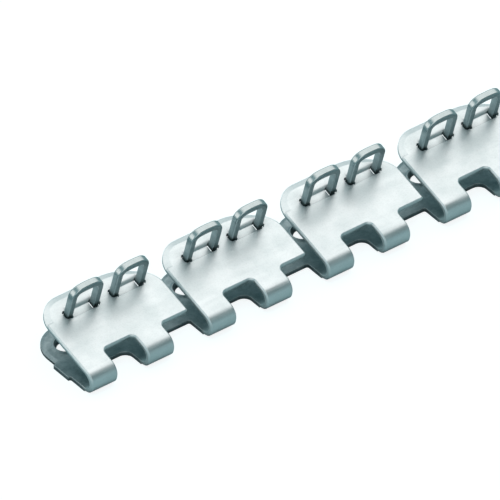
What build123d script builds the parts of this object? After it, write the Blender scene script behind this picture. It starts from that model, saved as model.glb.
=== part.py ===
from build123d import *
import math
import os

# Hinged belt fastener strip: one stamped sheet folded over into hinge loops, with pre-set wire staples.
# Lengths are in millimetres and angles in degrees.
# X runs along the strip, +Y points from the loops towards the belt, and +Z is up.

# Driving sizes of the strip
fastener_count = 4
pitch = 25.0
sheet = 0.8
throat = 3.0
jaw_angle = 16.0

# Plan of a fastener: widths from the left side of its left loop, depths from the hinge axis
plate_width = 23.15
loop_width = 5.45
notch_width = 6.45
shoulder_depth = 2.4
notch_depth = 2.7
inner_corner = 0.9
shoulder_corner = 0.5

# Back outline of the upper and lower plates
upper_depth = 15.7
lower_depth = 16.35
upper_left_corner = 5.1
lower_left_corner = 5.8
lower_side_inset = 0.2
slant_width = 6.4
slant_depth = 4.0
slant_corner = 10.0
right_corner = 5.0

# Webs that join the lower plates of neighbouring fasteners
web_front = 3.8
web_width = 4.1
web_front_corner = 0.4
web_back_corner = 0.5
lower_notch_corner = 1.6
web_stub = 0.45

# Broken edges of the sheet's outer face, coined bevel of the upper plate and coined rim of the lower plate
edge_break = 0.25
bevel_width = 1.1
bevel_left_width = 1.4
bevel_slope = 18.0
bevel_run = 0.2
bevel_corner = 3.2
bevel_fade = 6.0
rim_width = 0.7
rim_slope = 20.0

# Staples of flat-sided wire
first_staple = 7.3
staple_spacing = 9.55
staple_depth = 11.5
staple_width = 6.7
staple_shoulder = 2.1
wire_thickness = 1.15
wire_width = 1.3
wire_break = 0.2
crown_height = 6.9
crown_rise = 0.3
crown_arch = 12.0
point_reach = 0.5
point_length = 0.7
point_flat = 0.3

# Leg holes and pressed seats in the upper plate
leg_clearance = 0.25
hole_corner = 0.3
seat_press = 0.4
seat_front_slope = 65.0
seat_roll = 1.2

# Tapered guide holes in the lower plate, each with a raised rim inside
guide_offset = 0.5
guide_radius = 1.65
guide_mouth = 0.5
guide_rim = 0.5
guide_rise = 0.25

# Fold: the hinge axis lies at the origin of the flat plate plan
inner_fold = throat / 2
outer_fold = inner_fold + sheet
fold_turn = 180 - jaw_angle
lean = math.radians(jaw_angle)

# Frame of the upper plate: height above it is measured from the hinge axis
upper_frame = Plane(
    origin=(0, 0, outer_fold),
    x_dir=(1, 0, 0),
    z_dir=(0, -math.sin(lean), math.cos(lean)),
)

# Places that follow from the driving sizes
loop_starts = [0, loop_width + notch_width]
loops_end = loop_starts[1] + loop_width
staple_places = [first_staple, first_staple + staple_spacing]
leg_offset = (staple_width - wire_thickness) / 2
hole_length = wire_thickness + 2 * leg_clearance
hole_width = wire_width + 2 * leg_clearance
point_height = inner_fold - point_reach
guide_depth = staple_depth - guide_offset

# Reach of the tools that cut bevels, and width of the line on which a flat plate meets the fold
cutter_reach = 4 * sheet
seam_width = sheet / 1000


def sheet_face(corners):
    """Closed outline: each corner is its x, its y and the radius that rounds it."""
    points = [(x, y) for x, y, _ in corners]
    radii = [radius for *_, radius in corners]
    return make_face(FilletPolyline(*points, radius=radii, close=True))


def loop_tabs(notch, notch_corner, shoulder):
    """Front corners of a plate: the two loop tabs with the notch between them."""
    return [
        (0, 0, 0),
        (loop_width, 0, 0),
        (loop_width, notch, notch_corner),
        (loop_starts[1], notch, notch_corner),
        (loop_starts[1], 0, 0),
        (loops_end, 0, 0),
        (loops_end, shoulder, notch_corner),
    ]


def back_corners(depth, left, left_corner):
    """Back corners of a plate: slanted at the right and well rounded at the left."""
    return [
        (plate_width, depth - slant_depth, right_corner),
        (plate_width - slant_width, depth, slant_corner),
        (left, depth, left_corner),
    ]


def upper_outline():
    """The upper plate has a square shoulder beside its right loop."""
    return sheet_face([
        *loop_tabs(notch_depth, inner_corner, shoulder_depth),
        (plate_width, shoulder_depth, shoulder_corner),
        *back_corners(upper_depth, 0, upper_left_corner),
    ])


def lower_outline():
    """The lower plate carries its part of the web on each side, and meets its neighbours there."""
    web_back = web_front + web_width
    web_end = pitch - web_stub
    return sheet_face([
        *loop_tabs(web_front, lower_notch_corner, web_front),
        (web_end, web_front, 0),
        (web_end, web_back, 0),
        (plate_width, web_back, web_back_corner),
        *back_corners(lower_depth, lower_side_inset, lower_left_corner),
        (lower_side_inset, web_back, web_back_corner),
        (-web_stub, web_back, 0),
        (-web_stub, web_front, 0),
        (0, web_front, web_front_corner),
    ])


def bevel_cutter(line, slope, height):
    """Wedge swept along the left of a line on the face at this height, falling away at the slope."""
    outwards = Vector(0, 0, 1).cross(line % 0)
    start = Plane(origin=line @ 0, x_dir=outwards, z_dir=line % 0)
    drop = cutter_reach * math.tan(math.radians(slope))
    wedge = Polyline((0, 0), (cutter_reach, -drop), (cutter_reach, sheet), (0, sheet), close=True)
    return Pos(0, 0, height) * sweep(start * make_face(wedge), path=line)


def upper_bevel():
    """Bevel of the upper plate: wide round the left corner and fading out down the right side."""
    back = upper_depth - bevel_width
    line = FilletPolyline(
        (bevel_left_width, back - bevel_corner - bevel_run),
        (bevel_left_width, back),
        (plate_width - slant_width - bevel_width / 2, back),
        (plate_width - bevel_width / 2, upper_depth - slant_depth),
        (plate_width, upper_depth - bevel_fade),
        radius=[bevel_corner, slant_corner, right_corner - bevel_width],
    )
    return bevel_cutter(line, bevel_slope, outer_fold)


def lower_rim():
    """Rim of the lower plate's inner face, round its left wing and along its back."""
    left = lower_side_inset + rim_width
    line = FilletPolyline(
        (left, web_front + web_width + web_back_corner),
        (left, lower_depth - rim_width),
        (plate_width - slant_width, lower_depth - rim_width),
        radius=[lower_left_corner - rim_width],
    )
    return bevel_cutter(line, rim_slope, sheet)


def seat_press_form(face_height, rise):
    """Flat-bottomed channel pressed below a face: steep at the front, and rolled over behind the legs."""
    front = -hole_width / 2
    lip = (seat_press + rise) / math.tan(math.radians(seat_front_slope))
    roll_turn = math.acos(1 - seat_press / seat_roll)
    roll_end = wire_width / 2 + seat_roll * math.sin(roll_turn)
    roll = CenterArc((roll_end, -seat_roll), seat_roll, 90, math.degrees(roll_turn))
    rest = Polyline(roll @ 1, (front, -seat_press), (front - lip, rise), (roll_end, rise), roll @ 0)
    section_plane = Plane(origin=(-leg_offset, staple_depth, face_height), x_dir=(0, 1, 0), z_dir=(1, 0, 0))
    return extrude(section_plane * make_face([roll, rest]), amount=2 * leg_offset)


def leg_holes():
    """Pair of leg holes with clearance all round the legs, cut across at the corners."""
    hole = chamfer(Rectangle(hole_length, hole_width).vertices(), hole_corner)
    pair = [Pos(side * leg_offset, staple_depth, 0) * hole for side in (-1, 1)]
    return extrude(Sketch() + pair, amount=2 * outer_fold)


def upper_plate():
    """Upper plate, laid flat in its own frame. Its outer edges are broken, apart from those on the fold."""
    plate = extrude(Pos(0, 0, inner_fold) * upper_outline(), amount=sheet)
    outer_edges = plate.faces().sort_by(Axis.Z)[-1].edges()
    plate = chamfer([edge for edge in outer_edges if (edge @ 0.5).Y > seam_width], edge_break)
    plate -= upper_bevel()
    for place in staple_places:
        plate += Pos(place, 0, 0) * seat_press_form(inner_fold, sheet / 4)
        plate -= Pos(place, 0, 0) * seat_press_form(outer_fold, sheet)
        plate -= Pos(place, 0, 0) * leg_holes()
    return plate


def guide_rim_form():
    """Low ring standing round a guide hole on the inner face."""
    mouth = guide_radius + guide_mouth
    ring = Cone(mouth + guide_rim, mouth, guide_rise, align=(Align.CENTER, Align.CENTER, Align.MIN))
    return Pos(0, guide_depth, sheet) * ring


def guide_hole_form():
    """Guide hole that narrows from the top of its ring down to the underside."""
    top = sheet + guide_rise
    hole = Cone(guide_radius, guide_radius + guide_mouth, top, align=(Align.CENTER, Align.CENTER, Align.MIN))
    return Pos(0, guide_depth, 0) * hole


def lower_plate():
    """Lower plate with the guide holes under the legs of both staples."""
    plate = extrude(lower_outline(), amount=sheet) - lower_rim()
    leg_places = [place + side * leg_offset for place in staple_places for side in (-1, 1)]
    for place in leg_places:
        plate += Pos(place, 0, 0) * guide_rim_form()
    for place in leg_places:
        plate -= Pos(place, 0, 0) * guide_hole_form()
    return plate


def hinge_loop(start):
    """Fold of the sheet round the hinge axis, from the lower plate up to the upper plate."""
    arcs = [CenterArc((0, 0), radius, 270 - fold_turn, fold_turn) for radius in (inner_fold, outer_fold)]
    ends = [Line(arcs[0] @ end, arcs[1] @ end) for end in (0, 1)]
    fold = Plane(origin=(start, 0, outer_fold), x_dir=(0, 1, 0), z_dir=(1, 0, 0))
    loop = extrude(fold * make_face([*arcs, *ends]), amount=loop_width)
    rims = [edge for edge in loop.edges().filter_by(GeomType.CIRCLE) if edge.radius > inner_fold + sheet / 2]
    return chamfer(rims, edge_break)


def fastener():
    """One fastener of the folded sheet."""
    body = lower_plate() + upper_frame * upper_plate()
    for start in loop_starts:
        body += hinge_loop(start)
    return body


def plate_strip():
    """All fasteners, one piece through the webs of their lower plates."""
    one = fastener()
    strip = one
    for number in range(1, fastener_count):
        strip += Pos(number * pitch, 0, 0) * one
    return strip


def leg_point(side):
    """Wedges that sharpen one leg to a flat chisel point."""
    half = wire_thickness / 2
    slope = point_length / (half - point_flat / 2)
    wedge = Polyline(
        (point_flat / 2, 0),
        (wire_thickness, slope * (wire_thickness - point_flat / 2)),
        (wire_thickness, -sheet),
        (point_flat / 2, -sheet),
        close=True,
    )
    foot = Plane(origin=(side * leg_offset, staple_depth, point_height), x_dir=(1, 0, 0), z_dir=(0, -1, 0))
    one = extrude(foot * make_face(wedge), amount=wire_width, both=True)
    return one + mirror(one, about=Plane.YZ.offset(side * leg_offset))


def staple():
    """Staple of flat wire in the upper plate's frame: two legs and an arched crown, its outer edges broken."""
    top = outer_fold + crown_height - wire_thickness / 2
    bend = staple_shoulder - wire_thickness / 2
    path = FilletPolyline(
        (-leg_offset, staple_depth, point_height),
        (-leg_offset, staple_depth, top - crown_rise),
        (0, staple_depth, top),
        (leg_offset, staple_depth, top - crown_rise),
        (leg_offset, staple_depth, point_height),
        radius=[bend, crown_arch, bend],
    )
    start = Plane(origin=path @ 0, x_dir=(1, 0, 0), z_dir=path % 0)
    section = Rectangle(wire_thickness, wire_width)
    section = chamfer(section.vertices().sort_by(Axis.X)[:2], wire_break)
    wire = sweep(start * section, path=path)
    for side in (-1, 1):
        wire -= leg_point(side)
    return wire


strip = plate_strip()
box = strip.bounding_box()
to_origin = Pos(-box.center().X, -box.center().Y, 0)

pieces = {"plate_strip": to_origin * strip}
one_staple = upper_frame * staple()
for number in range(fastener_count):
    for place, side in zip(staple_places, ("left", "right")):
        along = Pos(number * pitch + place, 0, 0)
        pieces[f"staple_{number + 1}_{side}"] = to_origin * along * one_staple

os.makedirs("parts", exist_ok=True)
for name, piece in pieces.items():
    piece.label = name
    export_step(piece, f"parts/{name}.step")
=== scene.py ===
import math

import bpy
import numpy as np
from mathutils import Matrix, Vector


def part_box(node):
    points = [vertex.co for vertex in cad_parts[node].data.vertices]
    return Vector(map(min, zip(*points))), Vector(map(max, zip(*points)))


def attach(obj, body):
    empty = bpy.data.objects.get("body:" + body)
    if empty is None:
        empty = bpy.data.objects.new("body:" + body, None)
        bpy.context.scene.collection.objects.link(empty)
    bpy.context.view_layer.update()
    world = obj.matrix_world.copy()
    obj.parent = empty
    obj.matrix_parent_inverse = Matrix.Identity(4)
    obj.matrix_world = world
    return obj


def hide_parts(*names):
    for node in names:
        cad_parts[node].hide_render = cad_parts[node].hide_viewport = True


bl_info = {
    "name": "Belt Fastener Strip",
    "version": (1, 0, 0),
    "blender": (4, 5, 0),
    "location": "View3D > Sidebar > Fastener Strip",
    "description": "Dresses a hinged belt fastener strip in stamped sheet and drawn wire, in a pale studio",
    "category": "Object",
}

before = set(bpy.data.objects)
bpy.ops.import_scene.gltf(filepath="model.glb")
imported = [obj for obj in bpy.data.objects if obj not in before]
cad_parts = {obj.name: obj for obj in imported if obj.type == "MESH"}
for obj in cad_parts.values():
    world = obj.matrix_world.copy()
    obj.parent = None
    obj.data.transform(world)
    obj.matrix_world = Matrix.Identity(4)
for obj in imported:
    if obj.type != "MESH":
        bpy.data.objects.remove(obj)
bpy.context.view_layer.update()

MM = 0.001

# Marks on the steel. Real grain and dents are about a third as large, and too fine to show.
BLOTCH_SIZE = 4.5 * MM
PATCH_SIZE = 1.9 * MM
GRAIN_SIZE = 0.3 * MM
DENT_SPACING = 1.1 * MM
RELIEF_DEPTH = 0.02 * MM
ROUGHNESS_SPREAD = 0.07

# Length and widths of one line left by the sheet's rolls or by the wire's die, and radius of the edges, all in
# millimetres. Real lines are several times as fine.
ROLL_LINES, SHEET_EDGE = (9.0, 0.35, 0.35), 0.14
DIE_LINES, WIRE_EDGE = (5.0, 0.18, 1.0), 0.08

# How far off a surface a crease still gets painted shade, the heights between which the painted shade near the
# underside of the lower plates fades out, and the share of that painted shade that stays below them
CREASE_SHADE_REACH = 2.2 * MM
UNDERSIDE_SHADE_FROM, UNDERSIDE_SHADE_TO = 0.1 * MM, 0.75 * MM
UNDERSIDE_SHADE_SHARE = 0.7

# Facets of the wire: their length and least number on a bend, and how many of them make one on a straight run
FACET_LENGTH = 0.12 * MM
LEAST_FACETS = 3
STRAIGHT_FACETS = 3

# Section of the wire: points on one corner, and how far from it a supporting point stands, as a share of the
# thickness
CORNER_POINTS = 6
SUPPORT_SHARE = 0.08

# Least fold of the wire's surface that is shaded sharp
SHARP_FOLD = math.radians(35)

# Where the wire's painted shade gives way to its bright tone on the crown's top face, from not at all to wholly:
# sideways part of its path's direction, and outward part of its section as a share of half its thickness
CROWN_SLOPE = (0.1, 0.5)
OUTER_FACE = (0.7, 0.98)

# Floor: half its side, how far it lies under the strip, and its lines of points each way
FLOOR_REACH = 1.5
FLOOR_DROP = 0.02 * MM
FLOOR_LINES = 9

# Cards round the studio, each laid over those before it: the way to its middle, the cosines of the angles from
# there to its faint edge and to its whole part, its share there, and its tone in the studio's settings
LIGHT_CARDS = (
    # Left bends of the staples
    ((-0.9, 0.4, 0.15), 0.8, 0.94, 0.95, "bright"),
    # Left rims of the loops, and both plates seen from behind
    ((-0.35, -0.9, 0.27), 0.78, 0.95, 0.5, "bright"),
    # Upper plates seen from above
    ((-0.15, -0.5, 0.86), 0.86, 0.97, 0.7, "bright"),
    # Back bevels
    ((-0.1, 0.68, 0.72), 0.86, 0.97, 0.62, "bright"),
    # Upper plates at the photograph's angle
    ((0.4, 0.08, 0.91), 0.66, 0.92, 1.0, "bright"),
    # Dark card: fronts of the legs, rolled backs of the seats and tops of the loops
    ((0.476, -0.61, 0.63), 0.84, 0.97, 1.0, "front"),
)

# What sets the wire's steel apart from the sheet's
WIRE_STEEL = {
    "light": "#D8E2E1",
    "dark": "#C2CECE",
    "roughness": 0.27,
    # The skin tones are painted shade
    "skin": "#B3C2C4",
    "skin_and_shade_dark": "#9CADB0",
    "skin_roughness": 0.04,
}


def linear(colour):
    """Scene-linear colour from an sRGB hex string."""
    parts = np.array([int(colour[i:i + 2], 16) / 255 for i in (1, 3, 5)])
    low, high = parts / 12.92, ((parts + 0.055) / 1.055) ** 2.4
    return (*np.where(parts <= 0.04045, low, high).tolist(), 1.0)


def node(tree, kind, links=None, **settings):
    """Adds a node; settings are its attributes or input values, links its input sockets by name or number."""
    made = tree.nodes.new(kind)
    for key, value in settings.items():
        if hasattr(made, key):
            setattr(made, key, value)
        else:
            made.inputs[key.replace("_", " ")].default_value = value
    for socket, source in (links or {}).items():
        if isinstance(source, bpy.types.NodeSocket):
            tree.links.new(source, made.inputs[socket])
        else:
            made.inputs[socket].default_value = source
    return made


def new_material(name):
    """Empty material with its node tree."""
    material = bpy.data.materials.new(name)
    material.use_nodes = True
    material.node_tree.nodes.clear()
    return material, material.node_tree


def jaw_shade_mask(tree, strip, hinge):
    """Share of the rougher finish whose darker tone is painted shade, at a point: whole inside the jaw, none on
    the outer faces.

    It is the product of three soft steps: behind the fold, below the middle of the upper sheet, and above the
    underside. Each runs from one distance to another, along a direction from the hinge axis.
    """
    place = node(tree, "ShaderNodeTexCoord").outputs["Object"]
    lean = strip.jaw_angle
    inner_fold = strip.fold_radius - strip.sheet
    behind_fold = (-strip.sheet, 0.5 * strip.sheet)
    below_sheet = (-inner_fold - 0.5 * strip.sheet, -inner_fold)
    above_underside = (-strip.fold_radius, 0.3 * strip.sheet - strip.fold_radius)
    share = 1.0
    for way, (start, end) in (
        ((0.0, math.cos(lean), math.sin(lean)), behind_fold),
        ((0.0, math.sin(lean), -math.cos(lean)), below_sheet),
        ((0.0, 0.0, 1.0), above_underside),
    ):
        away = Vector(way).dot(hinge)
        distance = node(tree, "ShaderNodeVectorMath", {0: place, 1: way}, operation="DOT_PRODUCT")
        step = node(
            tree, "ShaderNodeMapRange", {"Value": distance.outputs["Value"]},
            interpolation_type="SMOOTHSTEP", From_Min=away + start, From_Max=away + end,
        )
        share = node(
            tree, "ShaderNodeMath", {0: share, 1: step.outputs["Result"]}, operation="MULTIPLY",
        ).outputs[0]
    return share


def hinge_centre(strip):
    """A point on the hinge axis, found from the box of the folded plates."""
    low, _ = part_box("plate_strip")
    return Vector((0.0, low.y + strip.fold_radius, low.z + strip.fold_radius))


def steel(name, finish, coordinate, lines, edge, skin_and_shade_share):
    """Bare steel with the marks of its making, painted shade and painted highlights, from the broadest to the
    finest.

    Mottling tints the metal and shifts its gloss, lines left by rolls or dies run along one axis of the
    coordinate, small dents and a fine grain roughen it, the pits of the grain are darker, painted shade darkens
    its creases and the parts near the underside, and its outer edges are made bright by wear and painted
    highlight.
    Lines are the length and the widths of one line, and edge is the radius that tumbling leaves, all in
    millimetres. The skin_and_shade_share argument adds to the tree the share of rougher finish whose darker tone
    is painted shade, and returns it.
    """
    material, tree = new_material(name)
    place = node(tree, "ShaderNodeTexCoord").outputs[coordinate]
    blotch = node(
        tree, "ShaderNodeTexNoise", {"Vector": place}, Scale=1 / BLOTCH_SIZE, Detail=5.0, Roughness=0.6,
    )
    grain = node(
        tree, "ShaderNodeTexNoise", {"Vector": place}, Scale=1 / GRAIN_SIZE, Detail=3.0, Roughness=0.65,
    )
    stretched = node(
        tree, "ShaderNodeMapping", {"Vector": place, "Scale": [1 / (length * MM) for length in lines]},
    )
    drawn = node(
        tree, "ShaderNodeTexNoise", {"Vector": stretched.outputs[0]}, Scale=1.0, Detail=2.0, Roughness=0.5,
    )
    dents = node(tree, "ShaderNodeTexVoronoi", {"Vector": place}, Scale=1 / DENT_SPACING, Randomness=1.0)
    dented = node(
        tree, "ShaderNodeMapRange", {"Value": dents.outputs["Distance"]},
        From_Min=0.05, From_Max=0.22, To_Min=0.0, To_Max=1.0,
    )
    # Painted shade: the colour darkens in creases, as far as the surface around hides them
    creases = node(tree, "ShaderNodeAmbientOcclusion", samples=8, Distance=CREASE_SHADE_REACH)
    crease_unshaded = node(
        tree, "ShaderNodeMapRange", {"Value": creases.outputs["AO"]},
        From_Min=0.3, From_Max=0.97, To_Min=1.0 - finish.painted_shade, To_Max=1.0,
    )

    # Colour: two tones of the metal and two of its skin, darkened as painted shade, then painted shade in
    # creases and near the underside, and darker pits of the grain
    speck = node(
        tree, "ShaderNodeMapRange", {"Value": grain.outputs["Fac"]},
        From_Min=0.3, From_Max=0.55, To_Min=1.0 - finish.speckle, To_Max=1.0,
    )
    tone = node(tree, "ShaderNodeMapRange", {"Value": blotch.outputs["Fac"]}, From_Min=0.35, From_Max=0.65)
    metal = node(
        tree, "ShaderNodeMix",
        {"Factor": tone.outputs["Result"], 6: linear(finish.light), 7: linear(finish.dark)}, data_type="RGBA",
    )
    # Skin: rougher, and its darker tone is painted shade
    skin = skin_and_shade_share(tree)
    patches = node(
        tree, "ShaderNodeTexNoise", {"Vector": place}, Scale=1 / PATCH_SIZE, Detail=5.0, Roughness=0.68,
    )
    patchy = node(tree, "ShaderNodeMapRange", {"Value": patches.outputs["Fac"]}, From_Min=0.36, From_Max=0.64)
    skin_and_shade_tone = node(
        tree, "ShaderNodeMix",
        {"Factor": patchy.outputs["Result"], 6: linear(finish.skin), 7: linear(finish.skin_and_shade_dark)},
        data_type="RGBA",
    )
    skin_mixed_tone = node(
        tree, "ShaderNodeMix", {"Factor": skin, 6: metal.outputs[2], 7: skin_and_shade_tone.outputs[2]}, data_type="RGBA",
    )
    # Painted shade: the colour darkens near the underside of the lower plates
    height = node(tree, "ShaderNodeSeparateXYZ", {0: node(tree, "ShaderNodeTexCoord").outputs["Object"]})
    underside_unshaded = node(
        tree, "ShaderNodeMapRange", {"Value": height.outputs["Z"]}, interpolation_type="SMOOTHSTEP",
        From_Min=UNDERSIDE_SHADE_FROM, From_Max=UNDERSIDE_SHADE_TO, To_Min=1.0 - UNDERSIDE_SHADE_SHARE * finish.painted_shade, To_Max=1.0,
    )
    unshaded = node(
        tree, "ShaderNodeMath", {0: crease_unshaded.outputs["Result"], 1: underside_unshaded.outputs["Result"]}, operation="MULTIPLY",
    )
    unshaded_unpitted = node(
        tree, "ShaderNodeMath", {0: unshaded.outputs[0], 1: speck.outputs["Result"]}, operation="MULTIPLY",
    )
    colour = node(
        tree, "ShaderNodeMix",
        {"Factor": unshaded_unpitted.outputs[0], 6: linear(finish.shade_and_pit_tone), 7: skin_mixed_tone.outputs[2]}, data_type="RGBA",
    )

    # Wear and painted highlight: edges are made bright where the rounded normal leaves the face's own, unless
    # they lie in a crease
    rounded = node(tree, "ShaderNodeBevel", samples=6, Radius=edge * MM)
    face = node(tree, "ShaderNodeNewGeometry").outputs["True Normal"]
    turned = node(
        tree, "ShaderNodeVectorMath", {0: rounded.outputs["Normal"], 1: face}, operation="DOT_PRODUCT",
    )
    edged = node(
        tree, "ShaderNodeMapRange", {"Value": turned.outputs["Value"]},
        From_Min=0.98, From_Max=0.84, To_Min=0.0, To_Max=finish.wear_highlight,
    )
    open_share = node(tree, "ShaderNodeMapRange", {"Value": creases.outputs["AO"]}, From_Min=0.4, From_Max=0.75)
    worn_highlight = node(
        tree, "ShaderNodeMath", {0: edged.outputs["Result"], 1: open_share.outputs["Result"]},
        operation="MULTIPLY",
    )
    worn_highlit_colour = node(
        tree, "ShaderNodeMix", {"Factor": worn_highlight.outputs[0], 6: colour.outputs[2], 7: linear(finish.light)},
        data_type="RGBA",
    )

    # Gloss: rougher on the blotches, along the lines and on the skin
    uneven = node(
        tree, "ShaderNodeMath", {0: blotch.outputs["Fac"], 1: drawn.outputs["Fac"]}, operation="ADD",
    )
    rough = node(
        tree, "ShaderNodeMapRange", {"Value": uneven.outputs[0]}, From_Min=0.7, From_Max=1.3,
        To_Min=finish.roughness - ROUGHNESS_SPREAD, To_Max=finish.roughness + ROUGHNESS_SPREAD,
    )
    gloss = node(
        tree, "ShaderNodeMath", {0: skin, 1: finish.skin_roughness, 2: rough.outputs["Result"]},
        operation="MULTIPLY_ADD",
    )

    # Relief: rounded edges, then lines and grain, then dents
    fine = node(
        tree, "ShaderNodeMath", {0: grain.outputs["Fac"], 1: 0.6, 2: drawn.outputs["Fac"]},
        operation="MULTIPLY_ADD",
    )
    grained = node(
        tree, "ShaderNodeBump", {"Height": fine.outputs[0], "Normal": rounded.outputs["Normal"]},
        Strength=finish.grain, Distance=RELIEF_DEPTH,
    )
    relief = node(
        tree, "ShaderNodeBump", {"Height": dented.outputs["Result"], "Normal": grained.outputs["Normal"]},
        Strength=finish.dents, Distance=RELIEF_DEPTH,
    )
    shader = node(
        tree, "ShaderNodeBsdfPrincipled",
        {"Base Color": worn_highlit_colour.outputs[2], "Roughness": gloss.outputs[0], "Normal": relief.outputs["Normal"]},
        Metallic=1.0,
    )
    node(tree, "ShaderNodeOutputMaterial", {"Surface": shader.outputs["BSDF"]})
    return material


def dress(item, material):
    """Puts one material in every slot of an object."""
    item.data.materials.clear()
    item.data.materials.append(material)


def wire_section(thickness, width, outer, inner):
    """Rolled wire's section, once round: flat sides joined by quarter circles, larger on the outer side.

    A corner's point at angle t is its centre plus its radius times the cosine and the sine of t. Two more
    points on each flat, close to the corners, keep its shading flat.
    """
    quarter = np.linspace(0, math.pi / 2, CORNER_POINTS)
    corners = []
    for number, (x, y, radius) in enumerate(((1, 1, outer), (-1, 1, inner), (-1, -1, inner), (1, -1, outer))):
        angles = quarter + number * math.pi / 2
        centre = np.array([x * (thickness / 2 - radius), y * (width / 2 - radius)])
        arc = centre + radius * np.stack([np.cos(angles), np.sin(angles)], axis=1)
        along = SUPPORT_SHARE * min(thickness, width) * np.stack([-np.sin(angles), np.cos(angles)], axis=1)
        corners += [arc[:1] - along[:1], arc, arc[-1:] + along[-1:]]
    return np.concatenate(corners)


def rounded_path(corners, radii, step):
    """Points and tangents of a flat path: straight runs joined by circular arcs of the given radii.

    Each arc touches both runs at the radius times the tangent of half its turn from the corner, and its points
    are evenly turned from one tangent to the other.
    """
    runs = np.diff(corners, axis=0)
    ways = runs / np.linalg.norm(runs, axis=1)[:, None]
    points, tangents = [corners[:1]], [ways[:1]]
    for corner, radius, before, after in zip(corners[1:-1], radii, ways[:-1], ways[1:]):
        side = 1 if before[0] * after[1] > before[1] * after[0] else -1
        turn = math.acos(np.clip(before @ after, -1, 1))
        angles = np.linspace(0, turn, max(LEAST_FACETS, math.ceil(turn * radius / step)) + 1)[:, None]
        normal = side * np.array([-before[1], before[0]])
        start = corner - before * radius * math.tan(turn / 2)
        points.append(start + radius * (np.sin(angles) * before + (1 - np.cos(angles)) * normal))
        tangents.append(np.cos(angles) * before + np.sin(angles) * normal)
    points.append(corners[-1:])
    tangents.append(ways[-1:])
    points, tangents = np.concatenate(points), np.concatenate(tangents)

    # Long straight runs are divided evenly, so that every facet of the wire is short
    gaps = np.linalg.norm(np.diff(points, axis=0), axis=1)
    parts = np.maximum(1, np.ceil(gaps / (STRAIGHT_FACETS * step))).astype(int)
    first = np.repeat(np.arange(len(gaps)), parts)
    share = (np.arange(parts.sum()) - np.repeat(np.cumsum(parts) - parts, parts)) / np.repeat(parts, parts)
    blend = share[:, None]
    even_points = points[first] * (1 - blend) + points[first + 1] * blend
    even_tangents = tangents[first] * (1 - blend) + tangents[first + 1] * blend
    return np.vstack([even_points, points[-1:]]), np.vstack([even_tangents, tangents[-1:]])


def soft_step(value, low, high):
    """Rises from 0 to 1 between two values, level at both: three times the square less twice the cube."""
    share = np.clip((value - low) / (high - low), 0, 1)
    return share ** 2 * (3 - 2 * share)


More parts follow.
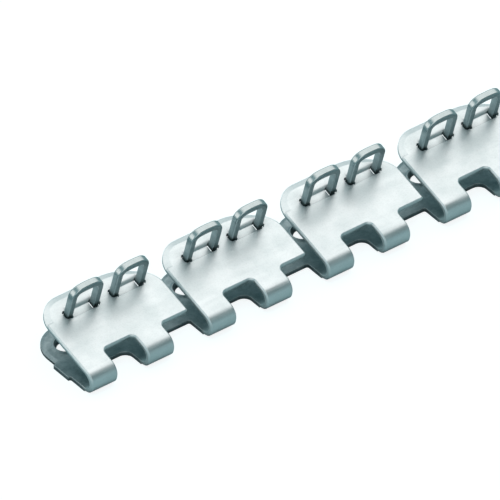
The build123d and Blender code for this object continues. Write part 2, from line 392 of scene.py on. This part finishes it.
def staple_mesh(name, wire, strip, middle, hinge):
    """Staple's wire: the section carried along legs, bends and arched crown, and sharpened at both ends.

    A point is the path's point plus the section's outward part along the path's normal and its sideward part
    along the plate's depth. Near an end the outward part is held within a half thickness that grows evenly
    from the flat of the point to the full wire. Heights are measured square to the upper plate.
    """
    leg = (wire.span - wire.thickness) / 2
    crown = strip.fold_radius + wire.crown_height - wire.thickness / 2
    foot = strip.fold_radius - strip.sheet - wire.point_reach
    bend = wire.shoulder - wire.thickness / 2
    shoulder = crown - wire.crown_rise
    corners = np.array([(-leg, foot), (-leg, shoulder), (0.0, crown), (leg, shoulder), (leg, foot)])
    points, tangents = rounded_path(corners, [bend, wire.crown_arch, bend], FACET_LENGTH)
    travelled = np.concatenate([[0.0], np.cumsum(np.linalg.norm(np.diff(points, axis=0), axis=1))])
    # Two more stations keep the edges where the sharpened flats begin
    flat_ends = np.array([wire.point_length, travelled[-1] - wire.point_length])
    stations = np.unique(np.concatenate([travelled, flat_ends]))
    points = np.stack([np.interp(stations, travelled, points[:, i]) for i in (0, 1)], axis=1)
    tangents = np.stack([np.interp(stations, travelled, tangents[:, i]) for i in (0, 1)], axis=1)
    tangents /= np.linalg.norm(tangents, axis=1)[:, None]
    outwards = np.stack([-tangents[:, 1], tangents[:, 0]], axis=1)

    section = wire_section(wire.thickness, wire.width, wire.outer_corner, wire.inner_corner)
    from_end = np.minimum(stations, stations[-1] - stations)
    flat = wire.point_flat / 2
    half = flat + (wire.thickness / 2 - flat) * np.minimum(from_end / wire.point_length, 1)
    thick = np.clip(section[None, :, 0], -half[:, None], half[:, None])
    across = points[:, 0, None] + outwards[:, 0, None] * thick
    height = points[:, 1, None] + outwards[:, 1, None] * thick
    depth = strip.staple_depth + np.broadcast_to(section[None, :, 1], across.shape)

    lean = strip.jaw_angle
    vertices = np.stack([
        middle + across,
        hinge.y + depth * math.cos(lean) - height * math.sin(lean),
        hinge.z + depth * math.sin(lean) + height * math.cos(lean),
    ], axis=2).reshape(-1, 3)

    rows, columns = across.shape
    row = np.arange(rows - 1)[:, None] * columns
    column = np.arange(columns)
    following = (column + 1) % columns
    sides = np.stack([row + column, row + columns + column, row + columns + following, row + following], axis=2)
    faces = sides.reshape(-1, 4).tolist()
    faces += [column.tolist(), ((rows - 1) * columns + column[::-1]).tolist()]
    mesh = bpy.data.meshes.new(name)
    mesh.from_pydata(vertices.tolist(), [], faces)

    # Map of the wire, in metres: how far along it, and how far round its section
    section_sides = np.linalg.norm(np.diff(section, axis=0, append=section[:1]), axis=1)
    round_it = np.concatenate([[0.0], np.cumsum(section_sides)])
    along_corner = np.stack([stations[:-1], stations[1:], stations[1:], stations[:-1]], axis=1)
    round_corner = np.stack([round_it[:-1], round_it[:-1], round_it[1:], round_it[1:]], axis=1)
    places = np.zeros((len(mesh.loops), 2))
    sides_count = (rows - 1) * columns * 4
    places[:sides_count, 0] = np.repeat(along_corner, columns, axis=0).ravel()
    places[:sides_count, 1] = np.tile(round_corner, (rows - 1, 1)).ravel()
    mesh.uv_layers.new(name="wire").data.foreach_set("uv", places.ravel().astype(np.float32))

    # Share of skin on the wire, a darker tone that is painted shade: none on the outer face of the crown, its
    # top, which stays bright
    crown_share = soft_step(np.abs(tangents[:, 0]), *CROWN_SLOPE)
    outer_share = soft_step(section[:, 0] / (wire.thickness / 2), *OUTER_FACE)
    skin = 1 - crown_share[:, None] * outer_share[None, :]
    skin_and_shade_data = mesh.attributes.new("wire_skin_and_shade", "FLOAT", "POINT").data
    skin_and_shade_data.foreach_set("value", skin.ravel().astype(np.float32))
    mesh.polygons.foreach_set("use_smooth", np.ones(len(mesh.polygons), dtype=bool))
    mesh.set_sharp_from_angle(angle=SHARP_FOLD)
    mesh.update()
    mesh.validate()
    return mesh


class StripSettings(bpy.types.PropertyGroup):
    """Sizes of the folded strip that the staples stand in."""

    sheet: bpy.props.FloatProperty(
        name="Sheet", description="Thickness of the sheet", default=0.8 * MM, unit="LENGTH", precision=5,
    )
    fold_radius: bpy.props.FloatProperty(
        name="Fold radius", description="Outer radius of the hinge loops", default=2.3 * MM,
        unit="LENGTH", precision=5,
    )
    jaw_angle: bpy.props.FloatProperty(
        name="Jaw angle", description="Angle between the two plates", default=math.radians(16), subtype="ANGLE",
    )
    staple_depth: bpy.props.FloatProperty(
        name="Staple depth", description="From the hinge axis to the legs, along the upper plate",
        default=11.5 * MM, unit="LENGTH", precision=5,
    )


class WireSettings(bpy.types.PropertyGroup):
    """Sizes of one staple."""

    thickness: bpy.props.FloatProperty(
        name="Thickness", description="Thickness of the wire", default=1.15 * MM, unit="LENGTH", precision=5,
    )
    width: bpy.props.FloatProperty(
        name="Width", description="Width of the wire", default=1.3 * MM, unit="LENGTH", precision=5,
    )
    span: bpy.props.FloatProperty(
        name="Span", description="Width of the staple over its legs", default=6.7 * MM,
        unit="LENGTH", precision=5,
    )
    shoulder: bpy.props.FloatProperty(
        name="Shoulder", description="Outer radius of its bends", default=2.1 * MM, unit="LENGTH", precision=5,
    )
    crown_height: bpy.props.FloatProperty(
        name="Crown height", description="Height of the crown over the upper plate", default=6.9 * MM,
        unit="LENGTH", precision=5,
    )
    crown_rise: bpy.props.FloatProperty(
        name="Crown rise", description="Rise of the crown at its middle", default=0.3 * MM,
        unit="LENGTH", precision=5,
    )
    crown_arch: bpy.props.FloatProperty(
        name="Crown arch", description="Radius of the crown at its middle", default=12 * MM,
        unit="LENGTH", precision=5,
    )
    outer_corner: bpy.props.FloatProperty(
        name="Outer corner", description="Radius of the wire's outer corners", default=0.24 * MM,
        unit="LENGTH", precision=5,
    )
    inner_corner: bpy.props.FloatProperty(
        name="Inner corner", description="Radius of the wire's inner corners", default=0.1 * MM,
        unit="LENGTH", precision=5,
    )
    point_reach: bpy.props.FloatProperty(
        name="Point reach", description="How far the points stand below the upper plate",
        default=0.5 * MM, unit="LENGTH", precision=5,
    )
    point_length: bpy.props.FloatProperty(
        name="Point length", description="Length of the sharpened flats", default=0.7 * MM,
        unit="LENGTH", precision=5,
    )
    point_flat: bpy.props.FloatProperty(
        name="Point flat", description="Width left at the tip", default=0.3 * MM, unit="LENGTH", precision=5,
    )


class SteelSettings(bpy.types.PropertyGroup):
    """Colours and finish of one kind of steel."""

    light: bpy.props.StringProperty(
        name="Light tone", description="sRGB hex colour of the steel", default="#F8FFFF",
    )
    dark: bpy.props.StringProperty(
        name="Dark tone", description="sRGB hex colour of its mottling", default="#EEF7F7",
    )
    # Skin tones: a darker tone that is painted shade, inside the jaw and on the wire away from the crown's top
    skin: bpy.props.StringProperty(
        name="Skin tone", description="sRGB hex colour of the mill skin that tumbling left", default="#BCCBCD",
    )
    skin_and_shade_dark: bpy.props.StringProperty(
        name="Skin patches", description="sRGB hex colour of the dark patches on the skin", default="#98ABAE",
    )
    skin_roughness: bpy.props.FloatProperty(
        name="Skin roughness", description="How much rougher the skin is", default=0.12, min=0.0, max=1.0,
        subtype="FACTOR",
    )
    # Dark tone of the painted shade in creases and near the underside, and of the darker pits of the grain
    shade_and_pit_tone: bpy.props.StringProperty(
        name="Residue tone", description="sRGB hex colour of the residue in the creases", default="#2B3739",
    )
    # Strength of the painted shade in the deepest creases and near the underside
    painted_shade: bpy.props.FloatProperty(
        name="Residue", description="Share of residue in the deepest creases", default=0.68, min=0.0, max=1.0,
        subtype="FACTOR",
    )
    # Brightness of the worn edges: wear and painted highlight
    wear_highlight: bpy.props.FloatProperty(
        name="Wear", description="Share of bright metal on the worn edges", default=0.75, min=0.0, max=1.0,
        subtype="FACTOR",
    )
    # Speckle darkens the pits of the grain with the same dark tone
    speckle: bpy.props.FloatProperty(
        name="Speckle", description="Share of residue in the pits of the grain", default=0.07, min=0.0, max=1.0,
        subtype="FACTOR",
    )
    roughness: bpy.props.FloatProperty(
        name="Roughness", description="Mean roughness of the surface", default=0.4, min=0.0, max=1.0,
        subtype="FACTOR",
    )
    grain: bpy.props.FloatProperty(
        name="Grain", description="Strength of the fine grain", default=0.18, min=0.0, max=1.0,
        subtype="FACTOR",
    )
    dents: bpy.props.FloatProperty(
        name="Dents", description="Strength of the small dents", default=0.12, min=0.0, max=1.0,
        subtype="FACTOR",
    )


class StudioSettings(bpy.types.PropertyGroup):
    """Camera, light and floor of the studio."""

    elevation: bpy.props.FloatProperty(
        name="Elevation", description="Camera's height above the horizon", default=math.radians(38.4),
        subtype="ANGLE",
    )
    azimuth: bpy.props.FloatProperty(
        name="Azimuth", description="Camera's turn to the left of the front", default=math.radians(37.4),
        subtype="ANGLE",
    )
    frame_width: bpy.props.FloatProperty(
        name="Frame width", description="Width that the picture takes in at the strip", default=84.3 * MM,
        unit="LENGTH", precision=4,
    )
    aim: bpy.props.FloatVectorProperty(
        name="Aim", description="Point on the floor at the middle of the picture", size=3,
        default=(-4.44 * MM, 6.33 * MM, 0.0), unit="LENGTH", precision=5,
    )
    lens: bpy.props.FloatProperty(
        name="Lens", description="Focal length in millimetres, long for nearly parallel sight lines",
        default=1500.0, unit="CAMERA",
    )
    strength: bpy.props.FloatProperty(
        name="Strength", description="Strength of all the light", default=1.09, min=0.0, max=4.0,
        subtype="FACTOR",
    )
    bright: bpy.props.StringProperty(
        name="Bright tone", description="sRGB hex colour of the light cards", default="#FFFFFF",
    )
    shade: bpy.props.StringProperty(
        name="Shade tone", description="sRGB hex colour of the unlit side of the studio", default="#78959A",
    )
    front: bpy.props.StringProperty(
        name="Front tone", description="sRGB hex colour of the dark card above the front", default="#435A5D",
    )
    floor: bpy.props.StringProperty(
        name="Floor tone", description="sRGB hex colour of the floor's own surface", default="#8FAEB2",
    )
    paper: bpy.props.StringProperty(
        name="Paper tone", description="sRGB hex colour added to the floor in the picture", default="#EDEDED",
    )
    mirrored: bpy.props.FloatProperty(
        name="Mirrored", description="Share of the paper tone that reflections show", default=0.06,
        min=0.0, max=1.0, subtype="FACTOR",
    )


class SCENE_OT_plate_strip(bpy.types.Operator):
    """Gives the folded plates their bright stamped sheet steel."""

    bl_idname = "fastener.plate_strip"
    bl_label = "Plate Strip"

    def execute(self, context):
        # Cold-rolled sheet, stamped and tumbled: near-white where it faces the light, satin, with faint roll
        # lines along the strip, soft worn edges, and a rougher skin inside the jaw, toned down there as painted
        # shade.
        # Its grain, dents and roll lines are drawn coarser than real, to show.
        strip = context.scene.strip
        sheet = steel(
            "tumbled_cold_rolled_steel", context.scene.plate_steel, "Object", ROLL_LINES, SHEET_EDGE,
            skin_and_shade_share=lambda tree: jaw_shade_mask(tree, strip, hinge_centre(strip)),
        )
        dress(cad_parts["plate_strip"], sheet)
        return {"FINISHED"}


class SCENE_OT_staples(bpy.types.Operator):
    """Makes the staples of rolled wire and stands them where the strip holds them."""

    bl_idname = "fastener.staples"
    bl_label = "Staples"

    def execute(self, context):
        # Drawn and rolled wire: darker and glossier than the sheet, with die lines along it, drawn coarser than
        # real, and a rougher skin, toned down as painted shade, everywhere but on the crown's top face.
        scene = context.scene
        wire_steel = steel(
            "drawn_and_rolled_steel_wire", scene.wire_steel, "UV", DIE_LINES, WIRE_EDGE,
            skin_and_shade_share=lambda tree: node(tree, "ShaderNodeAttribute", attribute_name="wire_skin_and_shade").outputs["Fac"],
        )
        hinge = hinge_centre(scene.strip)
        staples = [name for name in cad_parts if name.startswith("staple")]
        for name in staples:
            left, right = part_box(name)
            mesh = staple_mesh(name + "_wire", scene.wire, scene.strip, (left.x + right.x) / 2, hinge)
            staple = bpy.data.objects.new(name + "_wire", mesh)
            scene.collection.objects.link(staple)
            dress(staple, wire_steel)
            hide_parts(name)
            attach(staple, name)
        return {"FINISHED"}


class SCENE_OT_studio(bpy.types.Operator):
    """Sets the floor, the light and the camera."""

    bl_idname = "fastener.studio"
    bl_label = "Studio"

    def execute(self, context):
        studio = context.scene.studio
        self.make_floor(context, studio)
        self.make_light(context, studio)
        self.make_camera(context, studio)
        context.scene.view_settings.view_transform = "Standard"
        return {"FINISHED"}

    def make_floor(self, context, studio):
        """Flat square just under the strip: two parameters run along its sides."""
        side = np.linspace(-FLOOR_REACH, FLOOR_REACH, FLOOR_LINES)
        across, along = np.meshgrid(side, side)
        points = np.stack([across.ravel(), along.ravel(), np.full(across.size, -FLOOR_DROP)], axis=1)
        cell = np.arange(FLOOR_LINES - 1)
        first = (cell[:, None] * FLOOR_LINES + cell).ravel()
        quads = np.stack([first, first + 1, first + FLOOR_LINES + 1, first + FLOOR_LINES], axis=1)
        mesh = bpy.data.meshes.new("floor")
        mesh.from_pydata(points.tolist(), [], quads.tolist())
        floor = bpy.data.objects.new("floor", mesh)
        context.scene.collection.objects.link(floor)
        # Matt paper: the pale tone that the camera sees is added to its own diffuse light, so the shadow stays
        material, tree = new_material("matt_paper")
        path = node(tree, "ShaderNodeLightPath")
        mirrored = node(
            tree, "ShaderNodeMath", {0: path.outputs["Is Glossy Ray"], 1: path.outputs["Is Transmission Ray"]},
            operation="MAXIMUM",
        )
        toned = node(
            tree, "ShaderNodeMath", {0: mirrored.outputs[0], 1: studio.mirrored}, operation="MULTIPLY",
        )
        seen = node(
            tree, "ShaderNodeMath", {0: path.outputs["Is Camera Ray"], 1: toned.outputs[0]},
            operation="MAXIMUM",
        )
        paper = node(tree, "ShaderNodeBsdfDiffuse", Color=linear(studio.floor))
        pale = node(tree, "ShaderNodeEmission", {"Strength": seen.outputs[0]}, Color=linear(studio.paper))
        both = node(tree, "ShaderNodeAddShader", {0: paper.outputs[0], 1: pale.outputs[0]})
        node(tree, "ShaderNodeOutputMaterial", {"Surface": both.outputs[0]})
        dress(floor, material)

    def make_light(self, context, studio):
        """Grey-green studio with soft bright cards and one dark card, in front of a white backdrop."""
        world = bpy.data.worlds.new("studio")
        context.scene.world = world
        world.use_nodes = True
        tree = world.node_tree
        tree.nodes.clear()
        way = node(tree, "ShaderNodeTexCoord").outputs["Generated"]
        light = linear(studio.shade)
        for towards, edge, core, share, tone in LIGHT_CARDS:
            facing = node(
                tree, "ShaderNodeVectorMath", {0: way, 1: Vector(towards).normalized()},
                operation="DOT_PRODUCT",
            )
            field = node(
                tree, "ShaderNodeMapRange", {"Value": facing.outputs["Value"]},
                interpolation_type="SMOOTHSTEP", From_Min=edge, From_Max=core, To_Min=0.0, To_Max=share,
            )
            light = node(
                tree, "ShaderNodeMix",
                {"Factor": field.outputs["Result"], 6: light, 7: linear(getattr(studio, tone))},
                data_type="RGBA",
            ).outputs[2]
        path = node(tree, "ShaderNodeLightPath")
        shown = node(
            tree, "ShaderNodeMix", {"Factor": path.outputs["Is Camera Ray"], 6: light, 7: linear("#FFFFFF")},
            data_type="RGBA",
        )
        backdrop = node(tree, "ShaderNodeBackground", {"Color": shown.outputs[2]}, Strength=studio.strength)
        node(tree, "ShaderNodeOutputWorld", {"Surface": backdrop.outputs[0]})

    def make_camera(self, context, studio):
        """Camera at the photograph's angle, far away on a long lens."""
        data = bpy.data.cameras.new("camera")
        data.lens = studio.lens
        distance = studio.frame_width * studio.lens / data.sensor_width
        high, turn = studio.elevation, studio.azimuth
        back = Vector((-math.sin(turn) * math.cos(high), -math.cos(turn) * math.cos(high), math.sin(high)))
        data.clip_start, data.clip_end = 0.1 * distance, 4.0 * distance
        camera = bpy.data.objects.new("camera", data)
        context.scene.collection.objects.link(camera)
        camera.matrix_world = Matrix.Translation(Vector(studio.aim) + back * distance) @ (
            (-back).to_track_quat("-Z", "Y").to_matrix().to_4x4()
        )
        context.scene.camera = camera


class SCENE_PT_fastener_strip(bpy.types.Panel):
    """Lists the strip's settings and makers."""

    bl_label = "Fastener Strip"
    bl_space_type = "VIEW_3D"
    bl_region_type = "UI"
    bl_category = "Fastener Strip"

    def draw(self, context):
        scene = context.scene
        for settings, operator in (
            ((scene.strip, scene.plate_steel), SCENE_OT_plate_strip),
            ((scene.wire, scene.wire_steel), SCENE_OT_staples),
            ((scene.studio,), SCENE_OT_studio),
        ):
            column = self.layout.box().column()
            for group in settings:
                for name in group.__annotations__:
                    column.prop(group, name)
            column.operator(operator.bl_idname)


CLASSES = (
    StripSettings,
    WireSettings,
    SteelSettings,
    StudioSettings,
    SCENE_OT_plate_strip,
    SCENE_OT_staples,
    SCENE_OT_studio,
    SCENE_PT_fastener_strip,
)
SETTINGS = {
    "strip": StripSettings,
    "wire": WireSettings,
    "plate_steel": SteelSettings,
    "wire_steel": SteelSettings,
    "studio": StudioSettings,
}


def register():
    for item in CLASSES:
        bpy.utils.register_class(item)
    for name, group in SETTINGS.items():
        setattr(bpy.types.Scene, name, bpy.props.PointerProperty(type=group))


def unregister():
    for name in SETTINGS:
        delattr(bpy.types.Scene, name)
    for item in reversed(CLASSES):
        bpy.utils.unregister_class(item)


def main():
    register()
    for name, value in WIRE_STEEL.items():
        setattr(bpy.context.scene.wire_steel, name, value)
    bpy.ops.fastener.plate_strip()
    bpy.ops.fastener.staples()
    bpy.ops.fastener.studio()


if __name__ == "__main__":
    main()
